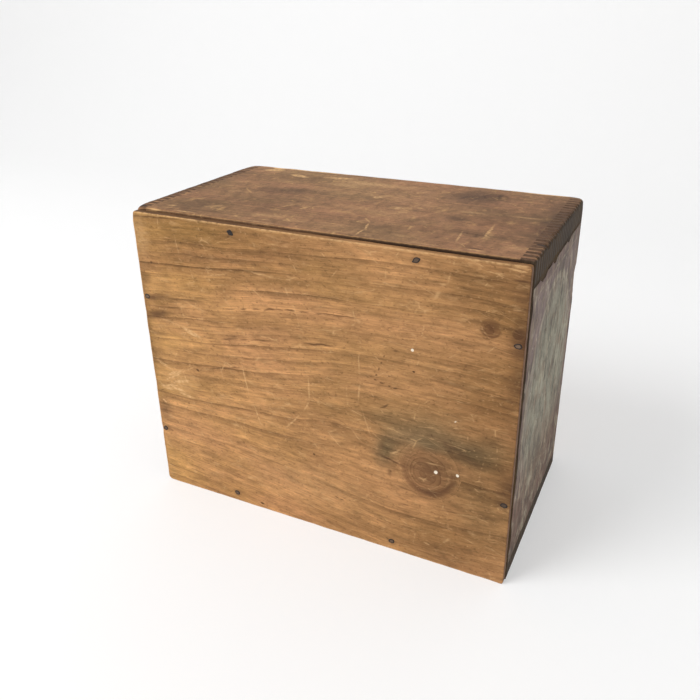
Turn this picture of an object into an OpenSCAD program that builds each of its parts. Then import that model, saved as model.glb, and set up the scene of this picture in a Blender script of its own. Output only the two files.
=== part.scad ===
// Locked-corner pine box, standing on one long side, with its nailed bottom board to the front
// and its hinged lid to the rear. X runs along the box, Y from the bottom board to the lid, Z up.
// The origin is the centre of the face that it stands on.

/* [Frame] */
// Outside length of the frame, from end to end
box_w = 306.5; // [240:0.5:400]
// Outside height of the frame as it stands
box_h = 248; // [190:1:320]
// Depth of the four frame boards, from the bottom board to the rim
frame_depth = 163; // [110:1:220]
// Thickness of the two long side boards
side_t = 16; // [11:0.5:22]
// Thickness of the two end boards
end_t = 9.6; // [7:0.2:14]

/* [Corner joints] */
// Width aimed at for each finger, before whole fingers are fitted to the depth
finger_w = 3.3; // [2.4:0.1:12]
// Room between two fingers, filled by glue
glue_line = 0.05; // [0.02:0.01:0.15]

/* [Bottom board] */
// Thickness of the bottom board
bottom_t = 5.6; // [4:0.2:9]
// How far the bottom board has shrunk below the top of the frame
bottom_shrink = 2; // [0.5:0.5:6]
// Distance from each end of the frame to the bottom board
bottom_inset = 0.5; // [0:0.1:3]
// Radius of the most worn corner, lower left
worn_corner_r = 5; // [1:0.5:10]
// Radius of the other three corners
eased_corner_r = 2.5; // [1:0.5:8]

/* [Bottom nails] */
// Length of a bottom nail
bottom_nail_l = 32; // [22:1:42]
// Upper nails: distance of the left one from the hinge end
upper_nail_left = 90; // [50:0.5:110]
// Upper nails: distance of the right one from the label end
upper_nail_right = 74; // [50:0.5:110]
// Lower nails: distance of the left one from the hinge end
lower_nail_left = 74.5; // [50:0.5:110]
// Lower nails: distance of the right one from the label end
lower_nail_right = 89; // [50:0.5:110]
// Hinge end nails: distance of the upper one from the top
hinge_nail_top = 71; // [40:0.5:90]
// Hinge end nails: distance of the lower one from the floor
hinge_nail_bottom = 54; // [40:0.5:90]
// Label end nails: distance of the upper one from the top
label_nail_top = 55; // [40:0.5:90]
// Label end nails: distance of the lower one from the floor
label_nail_bottom = 70; // [40:0.5:90]

/* [Nail] */
// Width of a cut nail's head
nail_head_w = 5; // [3.5:0.1:6]
// Height of a cut nail's head
nail_head_h = 3.6; // [2.5:0.1:5]
// Thickness of a cut nail's head
nail_head_t = 0.9; // [0.5:0.1:1.5]
// Width of the shank under the head
nail_shank_w = 2.6; // [1.6:0.1:3.2]
// Width of the shank at its blunt point
nail_tip_w = 1.2; // [0.6:0.1:1.5]
// Thickness of the shank, the same all along
nail_shank_t = 1.8; // [1.2:0.1:2.4]
// Room round a nail in its hole
nail_room = 0.03; // [0.02:0.01:0.1]

/* [Lid] */
// Thickness of the lid board
lid_t = 8; // [6:0.5:12]
// How far the lid stays inside the frame on its three free sides
lid_inset = 3; // [1:0.5:6]
// Room between the closed lid and the rim
lid_gap = 0.3; // [0.2:0.05:0.8]
// Radius of the lid's corners
lid_corner_r = 3; // [1:0.5:8]

/* [Lid battens] */
// Width of a batten across the lid
batten_w = 28; // [18:1:40]
// Thickness of a batten
batten_t = 9; // [6:0.5:14]
// Distance from an end board's inner face to the nearer batten
batten_setback = 24; // [6:1:50]
// Room between a batten's ends and the side boards
batten_end_room = 8; // [3:1:20]
// Chamfer along a batten's two inner edges
batten_chamfer = 2; // [0.5:0.5:4]
// Wood left in front of a batten nail's point
batten_nail_cover = 2; // [1:0.5:4]
// Distance from a batten's end to its outer nails
batten_nail_inset = 22; // [12:1:40]

/* [Hinges] */
// Length of a hinge
hinge_l = 38; // [26:1:60]
// Distance from the top or the floor to the middle of a hinge
hinge_setback = 50; // [42:1:70]
// Thickness of a hinge leaf
leaf_t = 1.1; // [0.8:0.1:1.5]
// Wood left beside a leaf on the end board's edge
leaf_margin = 0.8; // [0.4:0.1:2]
// Outside diameter of a knuckle
knuckle_d = 4.2; // [3.6:0.1:6]
// Clear room round a knuckle
knuckle_room = 0.3; // [0.2:0.05:0.6]
// Room between two knuckles
knuckle_gap = 0.25; // [0.15:0.05:0.6]
// Diameter of a hinge pin
pin_d = 2.2; // [1.6:0.1:2.6]
// Room round the pin in the box leaf, where it is held
pin_fit = 0.02; // [0.01:0.01:0.05]
// Room round the pin in the lid leaf, which turns on it
pin_run = 0.05; // [0.02:0.01:0.1]
// Diameter of the peened ends of a pin
pin_head_d = 3.2; // [2.8:0.1:3.6]
// Thickness of the peened ends of a pin
pin_head_t = 0.7; // [0.4:0.1:1.2]
// Room round a leaf in its mortise
mortise_room = 0.1; // [0.05:0.05:0.3]

/* [Hinge screws] */
// Diameter of a screw's head
screw_head_d = 4.6; // [3.6:0.1:5.4]
// Diameter of a screw's shank
screw_d = 2.4; // [1.6:0.1:3]
// Length of the screws in the end board
end_screw_l = 11; // [8:0.5:16]
// Wood left in front of a lid screw's point
lid_screw_cover = 1.5; // [1:0.5:3]
// Length of a screw's tapered point
screw_point_l = 3; // [2:0.5:4]
// Distance from a leaf's end to its screws
screw_inset = 7; // [5:0.5:9]
// Room round a screw in its hole
screw_room = 0.03; // [0.02:0.01:0.08]
// Width of a screw's slot
slot_w = 0.7; // [0.5:0.1:1]
// Depth of a screw's slot
slot_depth = 0.5; // [0.3:0.1:0.8]

/* [Paper label] */
// Thickness of the label with its paste
label_t = 0.25; // [0.15:0.05:0.5]
// Bare wood above the label
label_top_room = 18.5; // [5:0.5:40]
// Bare wood below the label
label_bottom_room = 14.5; // [5:0.5:40]
// Bare wood between the bottom board and the label
label_front_room = 1; // [0.5:0.5:20]
// Bare wood between the label and the rim
label_rim_room = 4; // [1:0.5:20]
// Radius of the label's corners
label_corner_r = 2; // [0.5:0.5:6]

/* [Broken rim] */
// Distance from the top of the label end to the deepest point of the chip in its rim
chip_drop = 59; // [45:1:100]
// Depth of the chip, from the rim
chip_depth = 9; // [3:0.5:14]
// Length of the chip above its deepest point
chip_rise = 12; // [5:1:20]
// Length of the chip below its deepest point
chip_fall = 27; // [10:1:40]
// Thickness of the wood that broke away
chip_t = 3; // [1:0.5:5]

/* [Hidden] */

$fn = 48;
// Points on each quarter circle of a rounded outline, less one
corner_steps = 6;
// How far a cutter stands out of the face that it cuts
over = 1;

// Planes across the box
left_x = -box_w / 2;
right_x = box_w / 2;
seat_y = -frame_depth / 2;
rim_y = frame_depth / 2;
front_y = seat_y - bottom_t;
lid_in_y = rim_y + lid_gap;
lid_out_y = lid_in_y + lid_t;

// Fingers: an odd count, so that an end board has the first and the last one
finger_n = 2 * floor((frame_depth / finger_w - 1) / 2) + 1;
finger_pitch = frame_depth / finger_n;
END_FINGERS = 0;
SIDE_FINGERS = 1;

// Nails, as [x, z] on the bottom board and on the lid
nail_line_side = side_t / 2;
nail_line_end = end_t / 2;
bottom_nail_places = [
    [left_x + upper_nail_left, box_h - nail_line_side],
    [right_x - upper_nail_right, box_h - nail_line_side],
    [left_x + lower_nail_left, nail_line_side],
    [right_x - lower_nail_right, nail_line_side],
    [left_x + nail_line_end, box_h - hinge_nail_top],
    [left_x + nail_line_end, hinge_nail_bottom],
    [right_x - nail_line_end, box_h - label_nail_top],
    [right_x - nail_line_end, label_nail_bottom]
];

// Battens, by the middle of their width and their two ends
hinge_batten_x = left_x + end_t + batten_setback + batten_w / 2;
front_batten_x = right_x - end_t - batten_setback - batten_w / 2;
batten_z0 = side_t + batten_end_room;
batten_z1 = box_h - batten_z0;
batten_nail_l = lid_t + batten_t - batten_nail_cover;
batten_nail_places = [
    for (x = [hinge_batten_x, front_batten_x])
        for (z = [batten_z0 + batten_nail_inset, box_h / 2, batten_z1 - batten_nail_inset]) [x, z]
];

// Hinges: the pin's axis is upright, outside the hinge end, in the middle of the lid's gap
upper_hinge_z = box_h - hinge_setback;
lower_hinge_z = hinge_setback;
pin_x = left_x - knuckle_d / 2 - knuckle_room;
pin_y = rim_y + lid_gap / 2;
knuckle_l = (hinge_l - 2 * knuckle_gap) / 3;
leaf_x1 = left_x + end_t - leaf_margin;
leaf_middle_x = (left_x + leaf_x1) / 2;
lid_screw_l = lid_t - lid_screw_cover;
screw_tip_d = screw_d / 4;

// Where finger k begins, from the front of the frame to the rim
function finger_y(k) = seat_y + k * finger_pitch;

// Half of a glue line, with its sign, or nothing at the two outer faces of the frame
function half_glue(k, finger) =
    (k == 0 || k == finger_n) ? 0 : (finger ? 1 : -1) * glue_line / 2;

// One comb edge from front to rim, as [reach, y]: the owner's fingers reach out, the rest is cut
// back to the root
function comb(owner, out, root) = [
    for (k = [0 : finger_n - 1])
        let (finger = k % 2 == owner)
            for (end = [0, 1])
                [finger ? out : root,
                 finger_y(k + end) + (end == 0 ? 1 : -1) * half_glue(k + end, finger)]
];

function reversed(points) = [for (i = [len(points) - 1 : -1 : 0]) points[i]];

// A quarter circle about a centre, from angle a on
function quarter(centre, r, a) = [
    for (i = [0 : corner_steps])
        centre + r * [cos(a + 90 * i / corner_steps), sin(a + 90 * i / corner_steps)]
];

// A rectangle from lo to hi with rounded corners, given from the lower left on, anticlockwise
function rounded(lo, hi, r) = concat(
    quarter([lo.x + r[0], lo.y + r[0]], r[0], 180),
    quarter([hi.x - r[1], lo.y + r[1]], r[1], 270),
    quarter([hi.x - r[2], hi.y - r[2]], r[2], 0),
    quarter([lo.x + r[3], hi.y - r[3]], r[3], 90)
);

// A sheet with an outline in X and Z, from y0 to y1
module upright_sheet(outline, y0, y1) {
    translate([0, y1, 0])
        rotate([90, 0, 0])
            linear_extrude(y1 - y0)
                polygon(outline);
}

// A sheet with an outline in Y and Z, from x0 to x1
module end_sheet(outline, x0, x1) {
    translate([x0, 0, 0])
        rotate([90, 0, 90])
            linear_extrude(x1 - x0)
                polygon(outline);
}

// A side board lying in X and Y, with a comb of fingers at both ends
module side_blank(z0) {
    edge = comb(SIDE_FINGERS, right_x, right_x - end_t - glue_line);
    right = edge;
    left = [for (p = reversed(edge)) [-p.x, p.y]];
    translate([0, 0, z0])
        linear_extrude(side_t)
            polygon(concat(right, left));
}

// An end board standing in Y and Z, with a comb of fingers at top and bottom
module end_blank(x0) {
    edge = comb(END_FINGERS, box_h, box_h - side_t - glue_line);
    top = [for (p = reversed(edge)) [p.y, p.x]];
    bottom = [for (p = edge) [p.y, box_h - p.x]];
    end_sheet(concat(bottom, top), x0, x0 + end_t);
}

// A cut nail along +Z from its head's outer face: flat sides, and a taper in width only
module cut_nail(length, room = 0) {
    head_up = room > 0 ? over : 0;
    half_head = nail_shank_w / 2 + room;
    half_tip = nail_tip_w / 2 + room;
    translate([-nail_head_w / 2 - room, -nail_head_h / 2 - room, -head_up])
        cube([nail_head_w + 2 * room, nail_head_h + 2 * room, nail_head_t + room + head_up]);
    rotate([90, 0, 0])
        linear_extrude(nail_shank_t + 2 * room, center = true)
            polygon([
                [-half_head, 0], [half_head, 0], [half_tip, length + room], [-half_tip, length + room]
            ]);
}

module all_bottom_nails(room = 0) {
    for (p = bottom_nail_places)
        translate([p.x, front_y, p.y])
            rotate([-90, 0, 0])
                cut_nail(bottom_nail_l, room);
}

module all_batten_nails(room = 0) {
    for (p = batten_nail_places)
        translate([p.x, lid_out_y, p.y])
            rotate([90, 0, 0])
                cut_nail(batten_nail_l, room);
}

// A countersunk screw along +Z from its head's flat face, or its hole
module screw(length, room = 0) {
    head_up = room > 0 ? over : 0;
    head_r = screw_head_d / 2 + room;
    shank_r = screw_d / 2 + room;
    rotate_extrude()
        polygon([
            [0, -head_up], [head_r, -head_up], [head_r, 0], [shank_r, leaf_t],
            [shank_r, length - screw_point_l], [screw_tip_d / 2 + room, length + room], [0, length + room]
        ]);
}

module slotted_screw(length) {
    difference() {
        screw(length);
        translate([-screw_head_d / 2, -slot_w / 2, -over])
            cube([screw_head_d, slot_w, slot_depth + over]);
    }
}

// Places a leaf's two screws, driven forwards into the end board or rearwards into the lid
module screw_places(z, forwards) {
    for (side = [-1, 1])
        translate([leaf_middle_x, forwards ? rim_y : lid_in_y, z + side * (hinge_l / 2 - screw_inset)])
            rotate([forwards ? 90 : -90, 0, 0])
                children();
}

// The room for a leaf, cut into the wood from face_y to back_y
module mortise(z, face_y, back_y) {
    lo = min(face_y, back_y);
    hi = max(face_y, back_y);
    translate([left_x - over, lo, z - hinge_l / 2 - mortise_room])
        cube([leaf_x1 + mortise_room - left_x + over, hi - lo, hinge_l + 2 * mortise_room]);
}

// A knuckle and its tongue, from z0 up, joined to a leaf that starts at leaf_y
module knuckle(z0, leaf_y) {
    translate([pin_x, pin_y, z0])
        cylinder(h = knuckle_l, d = knuckle_d);
    translate([pin_x, leaf_y, z0])
        cube([left_x - pin_x + over, leaf_t, knuckle_l]);
}

module pin_bore(z, room) {
    translate([pin_x, pin_y, z - hinge_l / 2 - over])
        cylinder(h = hinge_l + 2 * over, d = pin_d + 2 * room);
}

module leaf_plate(z, leaf_y) {
    translate([left_x, leaf_y, z - hinge_l / 2])
        cube([leaf_x1 - left_x, leaf_t, hinge_l]);
}

// The leaf on the end board, with the two outer knuckles
module box_leaf(z) {
    leaf_y = rim_y - leaf_t;
    difference() {
        union() {
            leaf_plate(z, leaf_y);
            knuckle(z - hinge_l / 2, leaf_y);
            knuckle(z + hinge_l / 2 - knuckle_l, leaf_y);
        }
        pin_bore(z, pin_fit);
        screw_places(z, true) screw(end_screw_l, screw_room);
    }
}

// The leaf on the lid, with the middle knuckle
module lid_leaf(z) {
    difference() {
        union() {
            leaf_plate(z, lid_in_y);
            knuckle(z - knuckle_l / 2, lid_in_y);
        }
        pin_bore(z, pin_run);
        screw_places(z, false) screw(lid_screw_l, screw_room);
    }
}

// A pin with both ends peened over the outer knuckles
module hinge_pin(z) {
    half = hinge_l / 2;
    pin_r = pin_d / 2;
    head_r = pin_head_d / 2;
    translate([pin_x, pin_y, z])
        rotate_extrude()
            polygon([
                [0, -half - pin_head_t], [pin_r, -half - pin_head_t], [head_r, -half - pin_head_t / 2],
                [head_r, -half], [pin_r, -half], [pin_r, half], [head_r, half],
                [head_r, half + pin_head_t / 2], [pin_r, half + pin_head_t], [0, half + pin_head_t]
            ]);
}

// The splinter that broke out of the label end's rim
module rim_chip() {
    z = box_h - chip_drop;
    end_sheet([
        [rim_y + over, z - chip_fall], [rim_y + over, z + chip_rise], [rim_y, z + chip_rise],
        [rim_y - chip_depth, z], [rim_y - 0.7 * chip_depth, z - chip_fall / 2], [rim_y, z - chip_fall]
    ], right_x - chip_t, right_x + over);
}

module batten(x) {
    half = batten_w / 2;
    in_y = lid_in_y - batten_t;
    color("#a98255")
        difference() {
            translate([x, 0, batten_z0])
                linear_extrude(batten_z1 - batten_z0)
                    polygon([
                        [-half, lid_in_y], [-half, in_y + batten_chamfer], [-half + batten_chamfer, in_y],
                        [half - batten_chamfer, in_y], [half, in_y + batten_chamfer], [half, lid_in_y]
                    ]);
            all_batten_nails(nail_room);
        }
}

// The thin board nailed over the front of the frame
module bottom_board() {
    outline = rounded(
        [left_x + bottom_inset, 0],
        [right_x - bottom_inset, box_h - bottom_shrink],
        [worn_corner_r, eased_corner_r, eased_corner_r, eased_corner_r]
    );
    color("#9a7140")
        difference() {
            upright_sheet(outline, front_y, seat_y);
            all_bottom_nails(nail_room);
        }
}

module upper_side_board() {
    color("#83613f")
        difference() {
            side_blank(box_h - side_t);
            all_bottom_nails(nail_room);
        }
}

module lower_side_board() {
    color("#7d5c3c")
        difference() {
            side_blank(0);
            all_bottom_nails(nail_room);
        }
}

module hinge_end_board() {
    color("#6f5237")
        difference() {
            end_blank(left_x);
            all_bottom_nails(nail_room);
            for (z = [lower_hinge_z, upper_hinge_z]) {
                mortise(z, rim_y + over, rim_y - leaf_t);
                screw_places(z, true) screw(end_screw_l, screw_room);
            }
        }
}

module label_end_board() {
    color("#574331")
        difference() {
            end_blank(right_x - end_t);
            all_bottom_nails(nail_room);
            rim_chip();
        }
}

// The printed sheet pasted on the label end
module paper_label() {
    outline = rounded(
        [seat_y + label_front_room, label_bottom_room],
        [rim_y - label_rim_room, box_h - label_top_room],
        [for (i = [0 : 3]) label_corner_r]
    );
    color("#84796c")
        difference() {
            end_sheet(outline, right_x, right_x + label_t);
            rim_chip();
        }
}

module bottom_nails() {
    color("#2e2a28") all_bottom_nails();
}

// The lid, flush with the frame at its hinged edge and inside it at the other three
module lid_board() {
    outline = rounded(
        [left_x, lid_inset],
        [right_x - lid_inset, box_h - lid_inset],
        [for (i = [0 : 3]) lid_corner_r]
    );
    color("#8d6840")
        difference() {
            upright_sheet(outline, lid_in_y, lid_out_y);
            all_batten_nails(nail_room);
            for (z = [lower_hinge_z, upper_hinge_z]) {
                mortise(z, lid_in_y - over, lid_in_y + leaf_t);
                screw_places(z, false) screw(lid_screw_l, screw_room);
            }
        }
}

module hinge_batten() {
    batten(hinge_batten_x);
}

module front_batten() {
    batten(front_batten_x);
}

module batten_nails() {
    color("#2e2a28") all_batten_nails();
}

module upper_hinge_box_leaf() {
    color("#5c4c37") box_leaf(upper_hinge_z);
}

module upper_hinge_pin() {
    color("#4a4038") hinge_pin(upper_hinge_z);
}

module upper_hinge_lid_leaf() {
    color("#5c4c37") lid_leaf(upper_hinge_z);
}

module upper_hinge_box_screws() {
    color("#4a4038") screw_places(upper_hinge_z, true) slotted_screw(end_screw_l);
}

module upper_hinge_lid_screws() {
    color("#4a4038") screw_places(upper_hinge_z, false) slotted_screw(lid_screw_l);
}

module lower_hinge_box_leaf() {
    color("#5c4c37") box_leaf(lower_hinge_z);
}

module lower_hinge_pin() {
    color("#4a4038") hinge_pin(lower_hinge_z);
}

module lower_hinge_lid_leaf() {
    color("#5c4c37") lid_leaf(lower_hinge_z);
}

module lower_hinge_box_screws() {
    color("#4a4038") screw_places(lower_hinge_z, true) slotted_screw(end_screw_l);
}

module lower_hinge_lid_screws() {
    color("#4a4038") screw_places(lower_hinge_z, false) slotted_screw(lid_screw_l);
}

bottom_board();
upper_side_board();
lower_side_board();
hinge_end_board();
label_end_board();
paper_label();
bottom_nails();
lid_board();
hinge_batten();
front_batten();
batten_nails();
upper_hinge_box_leaf();
upper_hinge_pin();
upper_hinge_lid_leaf();
upper_hinge_box_screws();
upper_hinge_lid_screws();
lower_hinge_box_leaf();
lower_hinge_pin();
lower_hinge_lid_leaf();
lower_hinge_box_screws();
lower_hinge_lid_screws();
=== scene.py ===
"""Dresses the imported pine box: rubbed boards of aged pine, a torn label, black nails, browned hinges."""
import math
from functools import partial

import bmesh
import bpy
from mathutils import Matrix, Vector, noise


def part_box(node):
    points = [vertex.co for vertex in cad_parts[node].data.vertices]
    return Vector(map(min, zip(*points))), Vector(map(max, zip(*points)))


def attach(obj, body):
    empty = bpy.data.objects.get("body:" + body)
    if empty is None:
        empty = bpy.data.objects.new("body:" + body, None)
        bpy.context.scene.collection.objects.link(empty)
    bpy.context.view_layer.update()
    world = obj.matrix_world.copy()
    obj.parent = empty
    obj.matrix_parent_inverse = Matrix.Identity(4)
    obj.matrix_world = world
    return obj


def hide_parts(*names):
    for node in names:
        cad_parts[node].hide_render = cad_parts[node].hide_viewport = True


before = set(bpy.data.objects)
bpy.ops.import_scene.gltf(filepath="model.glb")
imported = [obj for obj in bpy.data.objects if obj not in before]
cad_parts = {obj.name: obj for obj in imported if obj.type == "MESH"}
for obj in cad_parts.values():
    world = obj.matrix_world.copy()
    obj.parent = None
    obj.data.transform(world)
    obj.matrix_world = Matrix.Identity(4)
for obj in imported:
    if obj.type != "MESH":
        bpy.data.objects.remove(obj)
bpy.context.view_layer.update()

MM = 0.001

# Camera: fitted to the box's corners in the photograph
EYE = Vector((0.23539, -0.49097, 0.39149))
VIEW = Vector((-0.39308, 0.82266, -0.41077))
UP = Vector((-0.17015, 0.37394, 0.91171))
camera_data = bpy.data.cameras.new("photo_camera")
camera_data.sensor_width = 36
camera_data.lens = 36.975
camera_data.shift_x = -0.02067
camera_data.shift_y = -0.03962
camera = bpy.data.objects.new("photo_camera", camera_data)
turn = Matrix((VIEW.cross(UP), UP, -VIEW)).transposed()
camera.matrix_world = Matrix.Translation(EYE) @ turn.to_4x4()
bpy.context.scene.collection.objects.link(camera)
bpy.context.scene.camera = camera
bpy.context.scene.view_settings.view_transform = "Standard"


# Colours and nodes
def linear(code):
    """Turns an sRGB hex colour into the linear RGBA that shader sockets take."""
    parts = [int(code[i:i + 2], 16) / 255 for i in (1, 3, 5)]
    return tuple(c / 12.92 if c <= 0.04045 else ((c + 0.055) / 1.055) ** 2.4 for c in parts) + (1.0,)


def add(tree, kind, inputs=(), out=0, **settings):
    """Adds one shader node. Inputs are values or sockets in order, or a map of socket names or numbers."""
    node = tree.nodes.new("ShaderNode" + kind)
    for key, value in settings.items():
        setattr(node, key, value)
    for key, value in inputs.items() if isinstance(inputs, dict) else enumerate(inputs):
        if isinstance(value, bpy.types.NodeSocket):
            tree.links.new(value, node.inputs[key])
        else:
            node.inputs[key].default_value = value
    return node.outputs if out is None else node.outputs[out]


def new_material(name):
    """Gives an empty node material and its tree."""
    material = bpy.data.materials.new(name)
    material.use_nodes = True
    material.node_tree.nodes.clear()
    return material, material.node_tree


def marked(tree, place, marks):
    """Gives 1 inside the marks, fading to 0 at their rims. A mark is an ellipse across the face, in mm:
    (along, across, half length, half width, turn in degrees, strength, softness of the rim from 0 to 1)."""
    node = partial(add, tree)
    total = 0.0
    for along, across, half_l, half_w, turned, strength, soft in marks:
        cos, sin = math.cos(math.radians(turned)), math.sin(math.radians(turned))
        offset = node("VectorMath", [place, (along, across, 0)], operation="SUBTRACT")
        length = node("VectorMath", [offset, (cos / half_l, sin / half_l, 0)], out=1,
                      operation="DOT_PRODUCT")
        width = node("VectorMath", [offset, (-sin / half_w, cos / half_w, 0)], out=1,
                     operation="DOT_PRODUCT")
        rim = node("VectorMath", [node("CombineXYZ", [length, width])], out=1, operation="LENGTH")
        mark = node("MapRange", [rim, 1.0, 1.0 - soft, 0.0, strength], interpolation_type="SMOOTHSTEP")
        clear = node("Math", [1.0, mark], operation="SUBTRACT")
        total = node("Math", [total, clear, mark], operation="MULTIPLY_ADD")
    return total


def seen_directly(tree):
    """Gives 1 for rays that show a thing, straight or in a reflection, and 0 for those that light it."""
    node = partial(add, tree)
    path = node("LightPath", out=None)
    seen = node("Math", [path["Is Camera Ray"], path["Is Glossy Ray"]], operation="MAXIMUM")
    return node("Math", [seen, path["Is Transmission Ray"]], operation="MAXIMUM")


# Finishes
def aged_pine(name, board):
    """Planed pine, never varnished: growth rings and knots show through a brown skin of dirt and light, the
    soft wood between the rings is scuffed pale and specked with grit, its small dents painted in as dark
    pits of shade with pale painted highlights, and edges are rubbed back to bare wood."""
    material, tree = new_material(name)
    node = partial(add, tree)
    seed = board["seed"]

    # Place in mm: along the grain, across it, and in from the outer face
    where = node("TexCoord", out="Object")
    from_corner = node("VectorMath", [where, [c * MM for c in board["corner"]]], operation="SUBTRACT")
    in_mm = node("VectorMath", [from_corner, [s / MM for s in board["signs"]]], operation="MULTIPLY")
    xyz = node("SeparateXYZ", [in_mm], out=None)
    along, across, inward = (xyz[axis] for axis in board["axes"])
    grain = node("CombineXYZ", [along, across, inward])
    outer = node("MapRange", [inward, 3.5, 2.0, 0.0, 1.0])
    facing = node("SeparateXYZ", [node("TexCoord", out="Normal")], out=None)
    inner = node("Math", [facing[board["axes"][2]]], operation="ABSOLUTE")
    inner = node("MapRange", [inner, 0.3, 0.7, 0.0, 1.0])
    deep = node("MapRange", [inward, board["thick"] - 0.9, board["thick"] - 0.4, 0.0, 1.0])
    inner = node("Math", [inner, deep], operation="MULTIPLY")

    # The rings wander by a few mm over a hand's width
    wander_at = node("VectorMath", [grain, (1 / 110, 1 / 38, 1 / 38)], operation="MULTIPLY")
    wander = node("TexNoise", {"Vector": wander_at, "W": seed, "Scale": 1.0, "Detail": 2.0}, out=1,
                  noise_dimensions="4D")
    swing = node("VectorMath", [wander, (0.5, 0.5, 0.5)], operation="SUBTRACT")
    wavy = node("VectorMath", [swing, (0, board["wander"], board["wander"]), grain],
                operation="MULTIPLY_ADD")
    wavy_xyz = node("SeparateXYZ", [wavy], out=None)

    # Growth rings: lines along the board, pushed apart round the main knot
    pith_l, pith_t, reach_l, reach_t, push = board["pith"]
    near = node("VectorMath", [wavy, (1 / reach_l, 1 / reach_t, 0),
                               (-pith_l / reach_l, -pith_t / reach_t, 0)], operation="MULTIPLY_ADD")
    near = node("VectorMath", [near, near], out=1, operation="DOT_PRODUCT")
    near = node("Math", [node("Math", [near, -1.0], operation="MULTIPLY")], operation="EXPONENT")
    close_up = node("Math", [near, -push, 1.0], operation="MULTIPLY_ADD")
    beside = node("Math", [wavy_xyz[1], pith_t], operation="SUBTRACT")
    beside = node("Math", [beside, close_up], operation="MULTIPLY")
    beside = node("Math", [wavy_xyz[2], 0.8, beside], operation="MULTIPLY_ADD")
    rings = node("Math", [beside, board["ring"]], operation="DIVIDE")
    flow = node("CombineXYZ", [wavy_xyz[0], beside, wavy_xyz[2]])

    # Unevenness: place, feature sizes in mm, step of the seed, detail, roughness, distortion
    layers = {
        "ragged": (grain, (6, 6, 6), 6, 3.0, 0.5, 0.0),
        "patchy": (grain, (3, 2, 2), 7, 3.0, 0.5, 0.0),
        "bold": (flow, (150, 22, 22), 1, 2.0, 0.5, 0.0),
        "fibre": (flow, (30, 0.9, 0.9), 2, 3.0, 0.6, 0.0),
        "band": (flow, (80, 4, 4), 9, 3.0, 0.5, 0.0),
        "torn": (flow, (18, 0.9, 0.9), 3, 2.0, 0.5, 0.0),
        "grit": (grain, (2.6, 1.7, 1.7), 10, 2.0, 0.5, 0.0),
        "cloud": (flow, (120, 42, 42), 4, 4.0, 0.6, 0.0),
        "mottle": (grain, board["mottle_mm"], 8, 5.0, 0.7, 0.5),
        "scuff": (grain, board["scuff_mm"], 5, 5.0, 0.65, 0.4),
    }
    uneven = {}
    for layer, (place, sizes, step, detail, rough, bend) in layers.items():
        at = node("VectorMath", [place, [1 / mm for mm in sizes]], operation="MULTIPLY")
        uneven[layer] = node("TexNoise", {"Vector": at, "W": seed + step, "Scale": 1.0, "Detail": detail,
                                          "Roughness": rough, "Distortion": bend},
                             out=None, noise_dimensions="4D")
    fibre = uneven["fibre"][0]

    # Marks with ragged rims
    ragged = node("VectorMath", [uneven["ragged"][1], (0.5, 0.5, 0.5)], operation="SUBTRACT")
    ragged = node("VectorMath", [ragged, (2.2, 2.2, 0.0), grain], operation="MULTIPLY_ADD")
    patchy = node("MapRange", [uneven["patchy"][0], 0.38, 0.6, 0.25, 1.0])

    # Knots: rings of their own inside a dark rim, which is heaviest below
    lumps = node("VectorMath", [ragged, grain], operation="SUBTRACT")
    lumpy = node("VectorMath", [wavy, lumps], operation="ADD")
    knot_shade = 0.0
    knot_rings = 0.0
    for knot_l, knot_t, knot_r, knot_ring, knot_dark in board["knots"]:
        knot = node("VectorMath", [lumpy, (1 / knot_r, 1 / knot_r, 0),
                                   (-knot_l / knot_r, -knot_t / knot_r, 0)], operation="MULTIPLY_ADD")
        reach = node("VectorMath", [knot], out=1, operation="LENGTH")
        inside = node("MapRange", [reach, 1.35, 0.95, 0.0, 1.0], interpolation_type="SMOOTHSTEP")
        slack = node("Math", [1.0, reach], operation="SUBTRACT")
        shift = node("VectorMath", {0: (0.33, 0.25, 0), 3: slack}, operation="SCALE")
        shifted = node("VectorMath", [shift, knot], operation="ADD")
        own = node("VectorMath", [shifted], out=1, operation="LENGTH")
        own = node("Math", [own, knot_r / knot_ring], operation="MULTIPLY")
        rings = node("Mix", {0: inside, 2: rings, 3: own})
        off_rim = node("Math", [node("Math", [reach, 0.98], operation="SUBTRACT")], operation="ABSOLUTE")
        rim = node("MapRange", [off_rim, 0.32, 0.0, 0.0, 1.0], interpolation_type="SMOOTHSTEP")
        below = node("MapRange", [node("SeparateXYZ", [knot], out=1), -1.0, 1.0, 0.85, 0.2])
        rim = node("Math", [rim, below], operation="MULTIPLY")
        heart = node("MapRange", [reach, 1.1, 0.0, knot_dark * 0.4, knot_dark])
        heart = node("Math", [heart, inside], operation="MULTIPLY")
        shade = node("Math", [rim, heart], operation="MAXIMUM")
        knot_rings = node("Math", [inside, knot_rings], operation="MAXIMUM")
        knot_shade = node("Math", [shade, knot_shade], operation="MAXIMUM")

    # Late wood darkens slowly across a ring and stops sharply
    saw = node("Math", [rings], operation="FRACT")
    late = node("MapRange", [saw, 0.2, 0.96, 0.0, 0.5], interpolation_type="SMOOTHSTEP")
    last = node("MapRange", [saw, 0.76, 0.95, 0.0, 0.5], interpolation_type="SMOOTHSTEP")
    late = node("Math", [late, last], operation="ADD")
    year = node("Math", [rings], operation="FLOOR")
    year = node("TexWhiteNoise", {"W": node("Math", [year, seed], operation="ADD")}, noise_dimensions="1D")
    year = node("MapRange", [year, 0.0, 1.0, 0.2, 1.0])
    bold = node("MapRange", [uneven["bold"][0], 0.36, 0.62, 0.08, 1.0])
    bold = node("Math", [bold, knot_rings], operation="MAXIMUM")
    for factor in (year, bold, board["contrast"]):
        late = node("Math", [late, factor], operation="MULTIPLY")
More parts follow.
